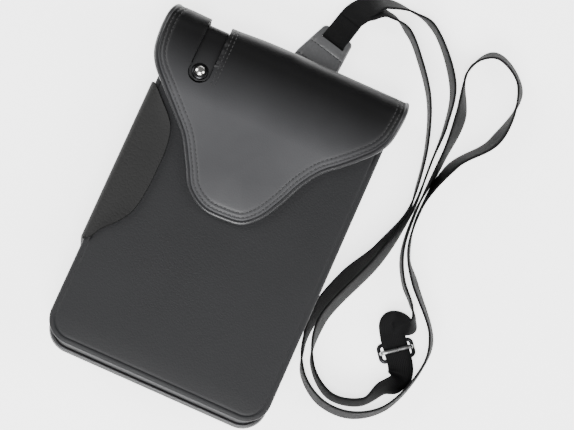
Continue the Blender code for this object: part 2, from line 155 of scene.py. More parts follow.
class Finish:
    """A material with one Principled shader, and one method that adds any other node."""

    def __init__(self, name, **constants):
        self.material = bpy.data.materials.new(name)
        self.material.use_nodes = True
        self.tree = self.material.node_tree
        self.shader = self.tree.nodes["Principled BSDF"]
        for key, value in constants.items():
            self.set(self.shader.inputs[key.replace("_", " ")], value)

    def set(self, socket, value):
        if isinstance(value, Value):
            self.tree.links.new(value.socket, socket)
        elif isinstance(value, tuple) and len(value) == 3 and socket.type == "RGBA":
            socket.default_value = (*value, 1)
        else:
            socket.default_value = value

    def node(self, kind, settings=None, values=None, output=0):
        made = self.tree.nodes.new(kind)
        for key, value in (settings or {}).items():
            setattr(made, key, value)
        for key, value in (values or {}).items():
            self.set(made.inputs[key], value)
        return Value(self, made.outputs[output])

    def place(self):
        return self.node("ShaderNodeTexCoord", output="Object")

    def noise(self, scale, detail=2.0, where=None):
        values = {"Vector": where or self.place(), "Scale": scale, "Detail": detail}
        return self.node("ShaderNodeTexNoise", None, values)

    def cells(self, scale, feature="F1"):
        values = {"Vector": self.place(), "Scale": scale}
        return self.node("ShaderNodeTexVoronoi", {"feature": feature}, values)

    def blend(self, share, first, second):
        settings = {"data_type": "RGBA"}
        return self.node("ShaderNodeMix", settings, {0: share, 6: first, 7: second}, output=2)

    def colour(self, share, first, second):
        self.set(self.shader.inputs["Base Color"], self.blend(share, first, second))

    def rough(self, value):
        self.set(self.shader.inputs["Roughness"], value)

    def bump(self, height, distance):
        values = {"Height": height, "Distance": distance, "Strength": 1.0}
        self.set(self.shader.inputs["Normal"], self.node("ShaderNodeBump", None, values))


# %% [markdown]
# ## Leather
# Leather grain is a net of fine creases round small plump cells, under a millimetre across, and
# broad soft patches where the dye took a little more or less. Cells give the net, and noise the
# patches. A painted picture could do the same, but a pattern from coordinates has no seams. The
# body is matt, the flap a smoother satin hide, and the edges are polished by wear. The flap's
# colour carries painted light: painted shade darkens it near its fold, and a painted sheen makes
# it paler further down, blending between two heights.


# %% Leather finishes
def leather(name, dark, light, rough, grain, depth, coat=0.0, shine=0.5, fold=None):
    hide = Finish(name, Coat_Weight=coat, Coat_Roughness=0.35, Specular_IOR_Level=shine)
    pebbles = hide.cells(grain)
    creases = hide.cells(grain * 0.45, "DISTANCE_TO_EDGE")
    patches = hide.noise(28, 3.0)
    pores = hide.noise(grain * 2.2, 3.0)
    net = creases.maths("MINIMUM", 0.18)
    share = patches * 0.75 + pores * 0.25
    # Painted light: above one height the flap's colour is darkened as painted shade, and below another
    # it is made paler as a painted sheen.
    if fold:
        sheen_below, shade_above = fold
        parts = {"Vector": hide.place()}
        up = hide.node("ShaderNodeSeparateXYZ", None, parts, output="Y")
        sheen_share = (shade_above - up) * (1 / (shade_above - sheen_below))
        sheen_share = sheen_share.maths("MAXIMUM", 0.0)
        share = (share * 0.5 + 0.7) * sheen_share.maths("MINIMUM", 1.0) ** 1.3
    hide.colour(share, dark, light)
    hide.rough(patches * 0.16 + pores * 0.1 + (rough - 0.13))
    hide.bump(net * 2.4 - pebbles * 0.35 + pores * 0.35, depth)
    return hide.material


BODY_HIDE = leather(
    "body_hide", (0.0056, 0.0058, 0.0066), (0.0098, 0.01, 0.0112), 0.56, 1300, 6e-5, shine=0.32
)
LEAF_HIDE = leather(
    "leaf_hide", (0.005, 0.005, 0.005), (0.011, 0.011, 0.0108), 0.62, 900, 1.2e-4, shine=0.3
)
# Heights of the flap's painted light: full painted sheen below the first, full painted shade above the
# second.
FLAP_SHADE_TO_SHEEN = (0.05, 0.085)
FLAP_HIDE = leather(
    "flap_hide_painted_light", (0.003, 0.003, 0.0032), (0.05, 0.0503, 0.053), 0.42, 1500, 3e-5,
    shine=0.25, fold=FLAP_SHADE_TO_SHEEN,
)  # fmt: skip
EDGE_HIDE = leather("edge_hide", (0.010, 0.010, 0.0108), (0.03, 0.0302, 0.032), 0.34, 1500, 3e-5, 0.15)
DARK_HIDE = leather("strap_hide", (0.006, 0.006, 0.0063), (0.011, 0.011, 0.0115), 0.42, 1300, 4e-5)
# The tab's pale patches, up to a light grey, are a painted sheen: they stand for highlights on its
# glossy hide.
TAB_HIDE = leather("tab_hide_painted_sheen", (0.016, 0.0162, 0.0166), (0.15, 0.151, 0.155), 0.34, 420, 1.5e-4, 0.1)
print("leather finishes:", sum("hide" in m.name for m in bpy.data.materials))

# %% [markdown]
# ## Metal, thread and cloth
# The snap is bright nickel with fine wipe marks, and the slider is dark plated wire. Its arched
# bar is a lighter grey steel, a painted highlight for the light that glances off the bar. All are
# metals whose roughness varies, because one even value looks like plastic. Thread is waxed and
# a little shiny. Linings are a short pile, whose fibres scatter light, so they get a sheen.


# %% Other finishes
def plated(name, dark, light, rough):
    metal = Finish(name, Metallic=1.0)
    cloud = metal.noise(160, 3.0)
    wipes = metal.noise(1400, 2.0)
    metal.colour(cloud, dark, light)
    metal.rough(cloud * 0.12 + wipes * 0.12 + (rough - 0.12))
    metal.bump(wipes, 8e-6)
    return metal.material


def fibrous(name, dark, light, scale, depth, rough=0.9, sheen=0.3):
    cloth = Finish(name, Sheen_Weight=sheen)
    fibres = cloth.noise(scale, 4.0)
    patches = cloth.noise(60, 2.0)
    cloth.colour(fibres * 0.6 + patches * 0.4, dark, light)
    cloth.rough(fibres * 0.1 + (rough - 0.05))
    cloth.bump(fibres, depth)
    return cloth.material


NICKEL = plated("bright_nickel", (0.72, 0.71, 0.69), (0.9, 0.89, 0.87), 0.2)
DARK_PLATE = plated("dark_plate", (0.012, 0.012, 0.013), (0.05, 0.05, 0.053), 0.3)
# The arched bar's lighter grey is a painted highlight; the slider's ring stays dark plate.
HIGHLIT_STEEL = plated("steel_painted_highlight", (0.22, 0.22, 0.22), (0.42, 0.42, 0.42), 0.3)
THREAD = fibrous("waxed_thread", (0.006, 0.006, 0.0062), (0.02, 0.02, 0.0206), 2500, 5e-5, 0.5, 0.05)
LINING = fibrous("pile_lining", (0.035, 0.033, 0.03), (0.08, 0.075, 0.068), 2200, 2e-4)
BOARD = fibrous("grey_board", (0.16, 0.13, 0.09), (0.3, 0.24, 0.17), 900, 1e-4, 0.9, 0.0)
TAPE = fibrous("closure_tape", (0.01, 0.01, 0.01), (0.035, 0.035, 0.035), 1100, 6e-4)
print("finishes so far:", len(bpy.data.materials))

# %% [markdown]
# Webbing is woven flat. Its ribs cross the band every 1.2 mm, and warp threads 1 mm wide run
# along it. Object coordinates would cut across the loops, so the mesh carries a "lay" attribute
# instead: how far across and how far along the band each point is, in millimetres.


# %% Webbing
RIB, WARP = 1.2, 1.0


def woven(name, dark, light):
    web = Finish(name, Specular_IOR_Level=0.15)
    lay = web.node("ShaderNodeAttribute", {"attribute_name": "lay"}, output="Vector")
    parts = {"Vector": lay}
    across = web.node("ShaderNodeSeparateXYZ", None, parts, output="X")
    along = web.node("ShaderNodeSeparateXYZ", None, parts, output="Y")
    warp = (across * (2 * math.pi / WARP)).maths("SINE")
    shift = warp.maths("SIGN") * 0.3
    ribs = ((along + shift) * (2 * math.pi / RIB)).maths("SINE")
    fuzz = web.noise(6.0, 3.0, lay)
    weave = ribs * 0.5 + warp * 0.3 + fuzz * 0.5
    web.colour(weave * 0.4 + 0.4, dark, light)
    web.rough(fuzz * 0.2 + 0.6)
    web.bump(weave, 1.6e-4)
    return web.material


WEBBING = woven("black_webbing", (0.0012, 0.0012, 0.0013), (0.005, 0.005, 0.0054))

# %% [markdown]
# ## Sheets, tubes and paths
# Nearly every piece is a sheet or a tube. Both start as create_grid, and each vertex is moved to
# its place: a sheet gets its wall from Solidify and its soft rim from Bevel, and a tube is a grid
# whose long sides are welded. Paths are smooth curves through a few chosen points. The curve is
# centripetal, because the plain kind overshoots where points lie close together.


# %% Paths
def smooth(points, steps):
    """A centripetal Catmull-Rom curve through points of any dimension."""
    given = [Vector(p) for p in points]
    given = [2 * given[0] - given[1], *given, 2 * given[-1] - given[-2]]
    found = []
    for p0, p1, p2, p3 in zip(given, given[1:], given[2:], given[3:]):
        t1 = math.sqrt((p1 - p0).length)
        t2 = t1 + math.sqrt((p2 - p1).length)
        t3 = t2 + math.sqrt((p3 - p2).length)
        for step in range(steps):
            t = t1 + (t2 - t1) * step / steps
            a1 = p0.lerp(p1, t / t1)
            a2 = p1.lerp(p2, (t - t1) / (t2 - t1))
            a3 = p2.lerp(p3, (t - t2) / (t3 - t2))
            b1 = a1.lerp(a2, t / t2)
            b2 = a2.lerp(a3, (t - t1) / (t3 - t1))
            found.append(b1.lerp(b2, (t - t1) / (t2 - t1)))
    return [*found, given[-2]]


def evenly(points, spacing):
    """The path again, with its points at an even spacing."""
    lengths = [0.0]
    for a, b in zip(points, points[1:]):
        lengths.append(lengths[-1] + (b - a).length)
    count = max(2, round(lengths[-1] / spacing))
    found, at = [], 0
    for step in range(count + 1):
        wanted = lengths[-1] * step / count
        while at < len(points) - 2 and lengths[at + 1] < wanted:
            at += 1
        share = (wanted - lengths[at]) / max(lengths[at + 1] - lengths[at], 1e-9)
        found.append(points[at].lerp(points[at + 1], min(share, 1)))
    return found


def directions(path):
    """The direction of travel at each point."""
    found = []
    for i in range(len(path)):
        step = path[min(i + 1, len(path) - 1)] - path[max(i - 1, 0)]
        found.append(step.normalized())
    return found


def span(low, high, count):
    return [low + (high - low) * i / count for i in range(count + 1)]


def in_mm(points):
    return [Vector(p) * MM for p in points]


# %% [markdown]
# Three formulas turn up again and again: a share kept between 0 and 1, a soft ridge or groove,
# and the drop of a rounded edge.


# %% Shape formulas
UP = Vector((0, 0, 1))


def kept(share):
    return min(max(share, 0), 1)


def bell(x, middle, width):
    return math.exp(-(((x - middle) / width) ** 2))


def rounded_off(gap, radius):
    """How far a round edge lies below the face, at some gap from the rim."""
    if gap >= radius:
        return 0.0
    return radius - math.sqrt(max(radius**2 - (radius - gap) ** 2, 0))


# %% [markdown]
# A real sheet has a thickness and a worn rim. Here `piece` adds both with modifiers, so that the
# grids stay simple, and it tells the frame which body carries the piece and which solid it hides.


# %% Sheets
def grid(columns, rows, place):
    """A mesh of quads with a vertex at place(column, row) for each pair."""
    bm = bmesh.new()
    across, along = len(columns) - 1, len(rows) - 1
    bmesh.ops.create_grid(bm, x_segments=across, y_segments=along, size=0.5)
    for vert in bm.verts:
        i = round((vert.co.x + 0.5) * across)
        j = round((vert.co.y + 0.5) * along)
        vert.co = place(columns[i], rows[j])
    bmesh.ops.remove_doubles(bm, verts=bm.verts[:], dist=1e-7)
    return bm


def faced(bm, direction):
    """Turns an open sheet over if it faces away from a direction."""
    bm.normal_update()
    total = sum((f.normal * f.calc_area() for f in bm.faces), Vector())
    if total.dot(Vector(direction)) < 0:
        bmesh.ops.reverse_faces(bm, faces=bm.faces[:])
    return bm


def modify(obj, kind, **settings):
    modifier = obj.modifiers.new(kind.lower(), kind)
    for key, value in settings.items():
        setattr(modifier, key, value)


def piece(name, bm, finish, body, nodes=(), wall=0.0, rim=0.0):
    """Makes the object, with its wall and soft rim, and hands it to the frame."""
    mesh = bpy.data.meshes.new(name)
    for face in bm.faces:
        face.smooth = True
    bm.to_mesh(mesh)
    bm.free()
    mesh.materials.append(finish)
    obj = bpy.data.objects.new(name, mesh)
    bpy.context.scene.collection.objects.link(obj)
    if wall:
        modify(obj, "SOLIDIFY", thickness=wall, offset=-1)
    if rim:
        sharp = math.radians(50)
        modify(obj, "BEVEL", width=rim, segments=2, limit_method="ANGLE", angle_limit=sharp)
    if body:
        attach(obj, body)
    if nodes:
        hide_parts(*nodes)
    print(f"{name}: {len(mesh.polygons)} faces")
    return obj


# %% [markdown]
# Piping, bars and the band are one cross-section carried along a path. A curve with a bevel could
# do it, but it twists where the path turns, so each ring is placed square to the path instead.
# Stitches are small beads of thread, because a bump casts none of a real stitch's shadow.


# %% Tubes
def swept(sections, capped=True):
    """Closed rings of points joined one after another, with flat ends."""
    count = len(sections[0])
    bm = grid(
        range(count + 1),
        range(len(sections)),
        lambda i, j: sections[j][i % count],
    )
    if capped:
        edges = [e for e in bm.edges if e.is_boundary]
        bmesh.ops.holes_fill(bm, edges=edges, sides=0)
    bmesh.ops.recalc_face_normals(bm, faces=bm.faces[:])
    return bm


def ring_sections(path, ups, profile, closed=False):
    """The profile's points (sideways, upwards) placed square to the path at each point."""
    ways = directions(path)
    if closed:
        first = (path[1] - path[-2]).normalized()
        ways[0] = ways[-1] = first
    found = []
    for point, way, up in zip(path, ways, ups):
        side = way.cross(up).normalized()
        up = side.cross(way).normalized()
        found.append([point + side * a + up * b for a, b in profile])
    return found


def round_profile(radius, sides=10):
    turns = [2 * math.pi * i / sides for i in range(sides)]
    return [(radius * math.cos(t), radius * math.sin(t)) for t in turns]


STITCH = Vector((0.95, 0.28, 0.2)) * MM  # half its length, width and height


def stitches(name, path, ups, body, pitch=2.4 * MM):
    """A row of thread, one small bead for each stitch."""
    bm = bmesh.new()
    places = evenly(path, pitch)
    for i, (place, way) in enumerate(zip(places, directions(places))):
        up = ups[round(i * (len(ups) - 1) / max(len(places) - 1, 1))]
        side = way.cross(up).normalized()
        up = side.cross(way).normalized()
        turn = Matrix((way, side, up)).transposed().to_4x4()
        scale = Matrix.Diagonal((*STITCH, 1))
        where = Matrix.Translation(place) @ turn @ scale
        bmesh.ops.create_uvsphere(bm, u_segments=6, v_segments=4, radius=1, matrix=where)
    return piece(name, bm, THREAD, body)


# %% [markdown]
# ## Carrying strap
# One long band of 14 mm webbing is sewn into the slot of the tab at both ends. It mostly stands
# on its edge and leans over in places. Cloth could be dropped to find a lay, but this lay has to
# match the CAD model, so the route is the CAD model's own list: place, lean in degrees and lift
# off the table. A swept ring keeps the band's width and thickness all the way.

# %% Strap route
STRAP_ROUTE = [
    (18.2, 135.3, 0, 1.6), (19.6, 140, 4, 1.5), (27, 146, 30, 1.2), (38, 148, 66, 0.4),
    (51, 143.5, 90, 0), (63.2, 131.3, 90, 0), (76.6, 112.7, 90, 0), (85.6, 88.7, 90, 0),
    (89.5, 67.6, 90, 0), (90.8, 49.7, 85, 0), (83.9, 23.8, 72, 0), (73.6, 1.5, 62, 0),
    (66.7, -21.1, 66, 0), (67.6, -42.5, 82, 0), (73.9, -57.1, 92, 0), (88.3, -66.8, 96, 0),
    (106.1, -66.7, 98, 0), (122.1, -55.3, 96, 0), (132, -26.8, 94, 0), (130, -9.6, 104, 0),
    (110.2, 14.3, 110, 0), (100.6, 27.7, 100, 0), (96.7, 52.3, 90, 0), (103.5, 83.8, 68, 0),
    (119.4, 106.6, 66, 0), (120.4, 140.2, 108, 0), (101.5, 151.7, 116, 0), (90.3, 137.8, 90, 0),
    (96.5, 111.1, 62, 0), (96.6, 84.4, 78, 0), (94.6, 51.4, 90, 0), (97.1, 26.7, 90, 0),
    (104.2, 12.2, 88, 0), (112.1, 3.6, 86, 0), (117.1, -3.3, 78, 0), (117.6, -8.5, 62, 0.3),
    (107.6, -10.5, 8, 2.2), (110, -15.9, 0, 2.3), (121, -30.1, 0, 2.3), (122.6, -34.5, 6, 2.1),
    (122.2, -40.3, 44, 1), (116.3, -45.9, 64, 0.3), (109.3, -57.4, 80, 0), (92, -61.6, 84, 0),
    (76, -49.5, 90, 0), (71.3, -26.3, 108, 0), (86.3, 18.2, 108, 0), (92.6, 50.5, 95, 0),
    (91.7, 80.3, 92, 0), (91, 102.4, 88, 0), (85.7, 125.6, 85, 0), (63, 151.7, 92, 0),
    (50, 155, 104, 0.2), (34, 153.3, 124, 1.2), (24.5, 147.4, 158, 2.6), (19.6, 140, 176, 3.1),
    (18.2, 135.3, 180, 3.2),
]  # fmt: skip
STRAP_WIDTH = 14 * MM
STRAP_THICK = 1.2 * MM
TABLE_GAP = 0.2


def strap_stations(steps=24):
    """Centre, width direction and travelled length at close stations along the band."""
    flat = smooth(in_mm(p[:2] for p in STRAP_ROUTE), steps)
    ways = directions(flat)
    found, travelled, last = [], 0.0, None
    for i, (place, way) in enumerate(zip(flat, ways)):
        first = STRAP_ROUTE[i // steps]
        second = STRAP_ROUTE[min(i // steps + 1, len(STRAP_ROUTE) - 1)]
        share = (i % steps) / steps
        share = share * share * (3 - 2 * share)
        lean = math.radians(first[2] + (second[2] - first[2]) * share)
        lift = first[3] + (second[3] - first[3]) * share
        half = STRAP_WIDTH / 2 * math.sin(lean) + STRAP_THICK / 2 * abs(math.cos(lean))
        centre = Vector((*place, half + (TABLE_GAP + lift) * MM))
        wide = Vector((way.y * math.cos(lean), -way.x * math.cos(lean), math.sin(lean)))
        travelled += (centre - last).length if last else 0.0
        last = centre
        found.append((centre, wide, Vector((*way, 0)), travelled))
    return found


# %% [markdown]
# The band's cross-section is a flat ring with thinner selvedges. One function makes its mesh, as
# the fold at the tab needs the same weave. It writes the "lay" of each point as it goes.


# %% Strap mesh
half, thick = STRAP_WIDTH / 2, STRAP_THICK / 2
SELVEDGE = 0.3 * MM
edge = half - SELVEDGE
inner = [x * MM for x in (-4, -1.5, 1.5, 4)]
band = [(-half, -thick * 0.5), (-edge, -thick), *[(x, -thick) for x in inner]]
band += [(edge, -thick), (half, -thick * 0.5)]
band += [(x, -z) for x, z in reversed(band)]


def woven_band(sections, travelled):
    """Rings of points joined and capped, each point marked with its lay in millimetres."""
    bm = bmesh.new()
    bmesh.ops.create_grid(bm, x_segments=len(band), y_segments=len(sections) - 1, size=0.5)
    lay = bm.verts.layers.float_vector.new("lay")
    for vert in bm.verts:
        i = round((vert.co.x + 0.5) * len(band)) % len(band)
        j = round((vert.co.y + 0.5) * (len(sections) - 1))
        vert.co = sections[j][i]
        vert[lay] = Vector((band[i][0] / MM, travelled[j], 0))
    bmesh.ops.remove_doubles(bm, verts=bm.verts[:], dist=1e-7)
    bmesh.ops.holes_fill(bm, edges=[e for e in bm.edges if e.is_boundary], sides=0)
    bmesh.ops.recalc_face_normals(bm, faces=bm.faces[:])
    return bm


stations = strap_stations()
sections = []
for centre, wide, way, _ in stations:
    out = wide.cross(way).normalized()
    sections.append([centre + wide * a + out * b for a, b in band])
bm = woven_band(sections, [s[3] / MM for s in stations])
strap = piece("webbing_band", bm, WEBBING, "case", ["strap"])

# %% [markdown]
# ## Slider
# The band runs through a ring of bent wire that lies flat, and under an arched bar over it. Both
# slide on the band together. A box with rounded edges would look cast, and wire has an even
# section all round, so both are bars swept along their centre lines.

# %% Slider
slider_low, slider_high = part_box("slider_frame")
slider_middle = (slider_low + slider_high) / 2
SLIDER_TURN = math.radians(-52)
along = Vector((math.cos(SLIDER_TURN), math.sin(SLIDER_TURN), 0))
over = Vector((-along.y, along.x, 0))


def rounded_ring(half_long, half_wide, radius, steps=6):
    """A rectangle with round corners, as one closed loop of (along, across)."""
    found = []
    for k, (sx, sy) in enumerate(((1, 1), (-1, 1), (-1, -1), (1, -1))):
        for step in range(steps + 1):
            t = math.pi / 2 * (k + step / steps)
            x = sx * (half_long - radius) + radius * math.cos(t)
            y = sy * (half_wide - radius) + radius * math.sin(t)
            found.append((x, y))
    return found + found[:1]


ring = [slider_middle + along * a + over * b for a, b in rounded_ring(4.6 * MM, 9.3 * MM, 2.2 * MM)]
ups = [UP] * len(ring)
wire = [(a * 1.15, b * 0.95) for a, b in round_profile(1.0 * MM)]
bm = swept(ring_sections(ring, ups, wire, closed=True), capped=False)
slider_ring = piece("slider_ring", bm, DARK_PLATE, "slider", ["slider_frame"])
arch = [(-9.0, 1.6), (-8.9, 3.0), (-8.3, 4.3), (-7.0, 4.9)]
arch += [(0, 5.0), *[(-x, z) for x, z in reversed(arch)]]
base = Vector((slider_middle.x, slider_middle.y, 0))
line = [base + over * p.x + UP * p.y for p in smooth(in_mm(arch), 5)]
ups = [along] * len(line)
flat_bar = [(a * 0.7, b * 1.25) for a, b in round_profile(0.95 * MM, 12)]
bm = swept(ring_sections(line, ups, flat_bar))
slider_arch = piece("slider_arch", bm, HIGHLIT_STEEL, "slider", ["slider_bar"])
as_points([tuple(s[0]) for s in stations[::4]] + [tuple(stations[-1][0])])

# %% [markdown]
# ## Floor
# A plain pale table. It glows a little, which keeps it near white while the lights stay low
# enough for black leather.

# %% Floor
paper = Finish("pale_table", Roughness=0.9, Emission_Color=(1, 1, 1), Emission_Strength=2.4)
paper.colour(paper.noise(40, 2.0), (0.9, 0.9, 0.9), (0.93, 0.93, 0.93))
bm = bmesh.new()
bmesh.ops.create_grid(bm, x_segments=1, y_segments=1, size=6)
table = piece("table", bm, paper.material, None)

# %% [markdown]
# ## Pouch
# The front and back are stiffened panels with a rolled rim. A rounded box would give the outline
# but no place for the seam. Each is a grid whose lines keep their distance from the edge, also
# round the two bottom corners, so a groove for the seam can follow the edge. The middle is
# crowned, because the leather is stretched over a board.

# %% Measures of the pouch
HALF, BOTTOM, MOUTH = 64 * MM, -98 * MM, 92 * MM
CORNER = 14 * MM
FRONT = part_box("front_panel")[1].z
SEAM_GAP = 3.1 * MM
STEPS = [0, 0.15, 0.4, 0.8, 1.3, 1.9, 2.5, 2.8, 3.1, 3.4, 3.7, 4.3, 5.2, 6.4, 8, 10, 12, 14]
STEPS = [s * MM for s in STEPS]


def rounded_corner(x, y):
    """Bends the square bottom corners round, keeping each line's distance from the edge."""
    side = -1 if x < 0 else 1
    a, b = HALF - abs(x), y - BOTTOM
    if a >= CORNER or b >= CORNER:
        return x, y
    p, q = CORNER - a, CORNER - b
    reach = max(p, q)
    if reach < 1e-9:
        return x, y
    t = math.pi / 4 * q / p if p >= q else math.pi / 2 - math.pi / 4 * p / q
    middle = HALF - CORNER
    return side * (middle + reach * math.cos(t)), BOTTOM + CORNER - reach * math.sin(t)


def panel_height(x, y, crown, roll, groove):
    """How far a panel's face stands above its edge plane."""
    gap = min(HALF - abs(x), y - BOTTOM)
    rise = -rounded_off(gap, roll) - groove * bell(gap, SEAM_GAP, 0.42 * MM)
    near = min(gap / (16 * MM), 1)
    puff = 1 - (1 - near) ** 2.2
    return rise + crown * puff * (0.55 + 0.45 * math.cos(math.pi * 0.5 * x / HALF))


def panel_columns():
    inner = span(-HALF + CORNER, HALF - CORNER, 20)
    return [-HALF + s for s in STEPS[:-1]] + inner + [HALF - s for s in STEPS[-2::-1]]


def panel_rows(end):
    return [BOTTOM + s for s in STEPS[:-1]] + span(BOTTOM + CORNER, end, 34)


# %% [markdown]
# Both panels use the same grid. The front swells a little over its board, and the back is flat,
# because the case lies on it. The back also reaches higher, towards the spine.


# %% Front and back panels
def front_place(x, y):
    rise = panel_height(x, y, 0.9 * MM, 1.3 * MM, 0.4 * MM)
    return Vector((*rounded_corner(x, y), FRONT + rise))


def back_place(x, y):
    rise = panel_height(x, y, 0.0, 1.1 * MM, 0.3 * MM)
    return Vector((*rounded_corner(x, y), -rise))


bm = faced(grid(panel_columns(), panel_rows(MOUTH), front_place), (0, 0, 1))
piece("front_cover", bm, BODY_HIDE, "case", ["front_panel"], 1.5 * MM, 0.2 * MM)
bm = faced(grid(panel_columns(), panel_rows(95.8 * MM), back_place), (0, 0, -1))
piece("back_cover", bm, BODY_HIDE, "case", ["back_panel"], 1.5 * MM, 0.2 * MM)

# %% [markdown]
# The gusset is the wall between the panels, one strip from the mouth round the bottom and back.
# It isn't stiffened, so it caves in a little. Piping runs in both seams. All three follow the
# same U, so one path serves them, moved inwards by a different amount.


# %% Gusset and piping
def pouch_path(inset):
    """The U of the pouch's edge, moved inwards, from the left of the mouth to the right."""
    x, y, r = HALF - inset, BOTTOM + inset, CORNER - inset
    path = [Vector((-x, MOUTH, 0)), Vector((-x, y + r, 0))]
    for k in range(1, 25):
        t = math.pi * (1 + 0.5 * k / 24)
        path.append(Vector((-x + r + r * math.cos(t), y + r + r * math.sin(t), 0)))
    for k in range(25):
        t = math.pi * (1.5 + 0.5 * k / 24)
        path.append(Vector((x - r + r * math.cos(t), y + r + r * math.sin(t), 0)))
    path.append(Vector((x, MOUTH, 0)))
    return evenly(path, 2.4 * MM)


walls = pouch_path(2.3 * MM)
wall_ways = directions(walls)
levels = span(1.6 * MM, FRONT - 1.6 * MM, 14)


def wall_place(level, k):
    share = (level - levels[0]) / (levels[-1] - levels[0])
    way = wall_ways[k]
    inwards = Vector((-way.y, way.x, 0))
    cave = 1.3 * MM * math.sin(math.pi * share) ** 1.5
    return walls[k] + inwards * cave + UP * level


bm = grid(levels, range(len(walls)), wall_place)
bm.normal_update()
pouch_middle = Vector((0, 0, 0.02))
if sum(f.normal.dot(f.calc_center_median() - pouch_middle) for f in bm.faces) < 0:
    bmesh.ops.reverse_faces(bm, faces=bm.faces[:])
piece("side_wall", bm, BODY_HIDE, "case", ["gusset"], 1.4 * MM, 0.2 * MM)
WELT_DROP, WELT_RADIUS = 3.1 * MM, 1.15 * MM
for name, height, node in (
    ("front_welt", FRONT - WELT_DROP, "front_piping"),
    ("back_welt", WELT_DROP, "back_piping"),
):
    path = [p + UP * height for p in pouch_path(1.35 * MM)]
    bm = swept(ring_sections(path, [UP] * len(path), round_profile(WELT_RADIUS)))
    piece(name, bm, EDGE_HIDE, "case", [node])

# %% [markdown]
# A rounded strip binds the front edge of the mouth. It is slimmer than its CAD solid, so that the
# snap strap bends over it with room to spare. The linings and boards inside keep their CAD shapes
# and get their own finishes, because little of them ever shows.

# %% Mouth binding and inside
low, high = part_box("mouth_binding")
low.y, high.y, high.z = 91.2 * MM, 92.4 * MM, 37.9 * MM
middle = (low + high) / 2
path = [Vector((x, middle.y, middle.z)) for x in span(low.x, high.x, 40)]
tall, deep = (high.z - low.z) / 2, (high.y - low.y) / 2
strip = []
for t in span(0, 2 * math.pi, 14)[:-1]:
    strip.append((deep * math.copysign(abs(math.cos(t)) ** 0.5, math.cos(t)), tall * math.sin(t)))
bm = swept(ring_sections(path, [UP] * len(path), strip))
piece("mouth_edging", bm, EDGE_HIDE, "case", ["mouth_binding"])
for name, finish in (
    ("back_board", BOARD), ("front_board", BOARD),
    ("back_lining", LINING), ("front_lining", LINING), ("gusset_lining", LINING),
    ("snap_stud", NICKEL), ("snap_socket", NICKEL), ("retainer_anchor", DARK_HIDE),
):  # fmt: skip
    nodes[name].material_slots[0].material = finish

# %% [markdown]
# ## Flap
# The flap and the spine are one hide, cut flat and bent over the mouth. It is made the same way:
# drawn flat first, with x across and t the distance along the leather, from the flap's tip up
# over the bend to the back. The outline is a smooth curve through chosen points. Its left and
# right halves get the same number of points, so that they can be joined down the middle.

# %% Flap outline
BEND = 12 * MM
BEND_Y, BEND_Z = 87.5 * MM, 31.3 * MM
SPINE_FOOT = 7.4 * MM
SHEET_END = BEND_Y + BEND * math.pi / 2 + BEND_Z - SPINE_FOOT
EDGE = [
    (-66, 124), (-68.4, 112), (-71.2, 101), (-73.2, 91), (-73.6, 80), (-71.7, 67), (-67.7, 59.5),
    (-58.8, 50), (-48.8, 40), (-38.8, 29.5), (-30.7, 16), (-23.5, 4), (-12.5, -2.8), (0, -3.5),
    (10.5, -1.8), (18.5, 5), (25.5, 17), (31.8, 31), (38.7, 41.5), (46.3, 48.5), (54.5, 56.5),
    (62, 65), (66, 73), (67.6, 83), (68, 92), (67.2, 101), (66.5, 112), (66, 124),
]  # fmt: skip


def flap_outline():
    found = [Vector((-66 * MM, SHEET_END)), *smooth(in_mm(EDGE), 12)]
    found.append(Vector((66 * MM, SHEET_END)))
    found = evenly(found, 0.5 * MM)
    low = min(range(len(found)), key=lambda k: found[k].y)
    left, right = found[: low + 1], found[low:]
    halves = []
    for half in (left, right):
        halves.append(evenly(half, sum((b - a).length for a, b in zip(half, half[1:])) / 120))
    return halves[0] + halves[1][1:]


def moved_in(path, distance):
    found = []
    for point, way in zip(path, directions(path)):
        found.append(point + Vector((-way.y, way.x)) * distance)
    return found


outline = flap_outline()
tip = min(range(len(outline)), key=lambda k: outline[k].y)
print("flap outline:", len(outline), "points, tip at", round(outline[tip].y / MM, 1))


# %% [markdown]
# Three formulas shape the flat sheet. Padding puffs it up away from the outline. The bend carries
# it round the mouth, and the leather droops beside the slot and at its left corner, where little
# holds it. The rim rolls down, and two shallow valleys show where the thread pulls it in.

# %% Flap surface
OUTER_ROW, INNER_ROW = 3.9 * MM, 6.3 * MM
PUFF = 3.4 * MM
DROOP_AT_SLOT, DROOP_AT_CORNER = 1.5 * MM, 1.2 * MM


def puff(t, gap):
    """How far the leather stands above its flat height."""
    down = kept((BEND_Y + 2 * MM - t) / (40 * MM))
    body = 1 - math.exp(-gap / (15 * MM))
    return PUFF * body * math.sin(math.pi / 2 * down) ** 1.4


def bent(x, t, height):
    """A point of the flat sheet after the bend, lifted off it by a height."""
    droop = DROOP_AT_SLOT * bell(x, -40 * MM, 17 * MM)
    droop += DROOP_AT_CORNER * kept((-x - 42 * MM) / (26 * MM))
    if t <= BEND_Y:
        fall = droop * kept((t - 55 * MM) / (32 * MM))
        return Vector((x, t, BEND_Z + BEND + height - fall))
    turn = (t - BEND_Y) / BEND
    if turn <= math.pi / 2:
        reach = BEND + height - droop
        return Vector((x, BEND_Y + reach * math.sin(turn), BEND_Z + reach * math.cos(turn)))
    down = t - BEND_Y - BEND * math.pi / 2
    share = min(down / (18 * MM), 1)
    return Vector((x, BEND_Y + BEND + height - droop * (1 - share), BEND_Z - down))


def rim_roll(gap, start):
    """The edge rolls down, and two shallow valleys carry the stitch rows."""
    drop = rounded_off(gap - start, 0.9 * MM)
    for valley, depth in ((OUTER_ROW, 0.34 * MM), (INNER_ROW, 0.28 * MM)):
        drop += depth * bell(gap, valley, 0.5 * MM)
    return drop


# %% [markdown]
# Grooves and stitches follow the outline, so the sheet is made of rings at fixed distances from
# it. The rings go inwards to a straight seam in the middle, where the left and the right half
# meet. Faces crowd together at the seam's foot, so they are dissolved into one.

# %% Flap sheet
SEAM_X, SEAM_LOW = -2 * MM, 24 * MM


